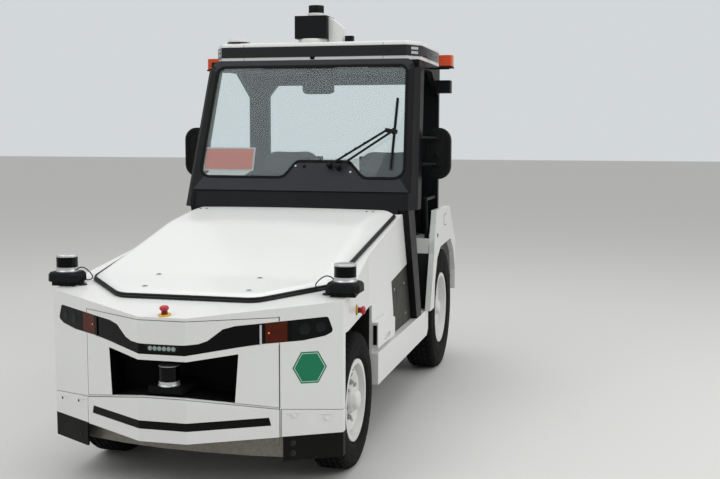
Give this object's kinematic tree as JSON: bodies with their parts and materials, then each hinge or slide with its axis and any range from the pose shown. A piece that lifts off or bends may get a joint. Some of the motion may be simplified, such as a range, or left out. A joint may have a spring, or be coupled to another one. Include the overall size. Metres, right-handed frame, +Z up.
{
  "type": "airport baggage tug",
  "caption": "Battery tow tractor for airport baggage trains: faceted nose, sensors at the corners, open-sided cab with seats, hood that opens, steered front wheels, rear tow jaw.",
  "frame": {"origin": "on the ground, in the middle of the length and of the width", "axes": "+Z up, +Y towards the rear tow jaw, -Y is the direction of travel, +X to the left side of the tug"},
  "size_m": [1.654, 3.5, 2.305],
  "materials": {
    "chassis_black": "satin",
    "battery_grey": "satin",
    "cast_steel": "rough",
    "tyre_black": "matt",
    "rim_white": "gloss",
    "body_white": "gloss",
    "rubber_black": "matt",
    "galvanised": "satin",
    "gloss_black": "gloss",
    "amber_lens": "gloss",
    "clear_lens": "gloss",
    "red_plastic": "gloss",
    "satin_black": "satin",
    "cab_black": "satin",
    "liner_grey": "matt",
    "olive_paint": "satin",
    "cab_grey": "satin",
    "window_glass": "clear",
    "seat_vinyl": "satin"
  },
  "bodies": {
    "chassis": {"chassis_frame": "chassis_black", "battery_block": "battery_grey", "drive_unit": "cast_steel", "rear_axle": "chassis_black", "front_axle_beam": "chassis_black", "leaf_springs": "chassis_black", "front_body": "body_white", "front_mask": "body_white", "front_bumper": "body_white", "rubber_trim": "rubber_black", "under_plate": "galvanised", "lamp_band": "gloss_black", "turn_signals": "amber_lens", "headlamps": "clear_lens", "grille_box": "satin_black", "grille_sensor": "gloss_black", "corner_sensors": "gloss_black", "corner_sensor_mounts": "cab_black", "sensor_leads": "rubber_black", "emergency_buttons": "red_plastic", "hood_seal": "rubber_black", "hood_hinges": "galvanised", "arch_liners": "liner_grey", "side_panels": "olive_paint", "side_sills": "body_white", "cab_floor": "cab_grey", "windscreen_frame": "cab_grey", "windscreen_seal": "rubber_black", "windscreen": "window_glass", "wiper": "cab_black", "cab_frame": "cab_black", "dashboard": "satin_black", "seats": "seat_vinyl", "grab_rails": "cab_black", "roof_panel": "body_white", "roof_fascia": "gloss_black", "roof_sensor": "gloss_black", "roof_brackets": "body_white", "beacons": "amber_lens", "mirrors": "satin_black", "rear_body": "body_white", "rear_lamps": "red_plastic", "tow_coupling": "cast_steel"},
    "knuckle_left": {"knuckle_left": "cast_steel"},
    "knuckle_right": {"knuckle_right": "cast_steel"},
    "tie_rod": {"tie_rod": "cast_steel"},
    "wheel_front_left": {"tyre_front_left": "tyre_black", "rim_front_left": "rim_white"},
    "wheel_front_right": {"tyre_front_right": "tyre_black", "rim_front_right": "rim_white"},
    "wheel_rear_left": {"tyre_rear_left": "tyre_black", "rim_rear_left": "rim_white"},
    "wheel_rear_right": {"tyre_rear_right": "tyre_black", "rim_rear_right": "rim_white"},
    "hood": {"hood": "body_white"},
    "steering_wheel": {"steering_wheel": "satin_black"}
  },
  "joints": [
    {"name": "steer_left", "type": "hinge", "parent": "chassis", "child": "knuckle_left", "pos_m": [0.49, -1.01, 0.315], "axis": [0, 0, 1], "range_deg": [-35, 35]},
    {"name": "steer_right", "type": "hinge", "parent": "chassis", "child": "knuckle_right", "pos_m": [-0.49, -1.01, 0.315], "axis": [0, 0, 1], "range_deg": [-35, 35]},
    {"name": "tie_rod_pivot", "type": "hinge", "parent": "knuckle_left", "child": "tie_rod", "pos_m": [0.49, -0.905, 0.225], "axis": [0, 0, 1], "range_deg": [-35, 35]},
    {"name": "steering_wheel_turn", "type": "hinge", "parent": "chassis", "child": "steering_wheel", "pos_m": [-0.33, 0.56, 1.2], "axis": [0, 0.6428, 0.766], "range_deg": [-420, 420]},
    {"name": "spin_front_left", "type": "hinge", "parent": "knuckle_left", "child": "wheel_front_left", "pos_m": [0.555, -1.01, 0.315], "axis": [1, 0, 0], "continuous": true},
    {"name": "spin_front_right", "type": "hinge", "parent": "knuckle_right", "child": "wheel_front_right", "pos_m": [-0.555, -1.01, 0.315], "axis": [1, 0, 0], "continuous": true},
    {"name": "spin_rear_left", "type": "hinge", "parent": "chassis", "child": "wheel_rear_left", "pos_m": [0.56, 1.2, 0.395], "axis": [1, 0, 0], "continuous": true},
    {"name": "spin_rear_right", "type": "hinge", "parent": "chassis", "child": "wheel_rear_right", "pos_m": [-0.56, 1.2, 0.395], "axis": [1, 0, 0], "continuous": true},
    {"name": "hood_hinge", "type": "hinge", "parent": "chassis", "child": "hood", "pos_m": [0, 0.048, 1.1012], "axis": [-1, 0, 0], "range_deg": [0, 50]}
  ],
  "couplings": [
    {"joint": "steer_right", "follows": "steer_left", "ratio": 1},
    {"joint": "tie_rod_pivot", "follows": "steer_left", "ratio": -1},
    {"joint": "steering_wheel_turn", "follows": "steer_left", "ratio": 12}
  ]
}
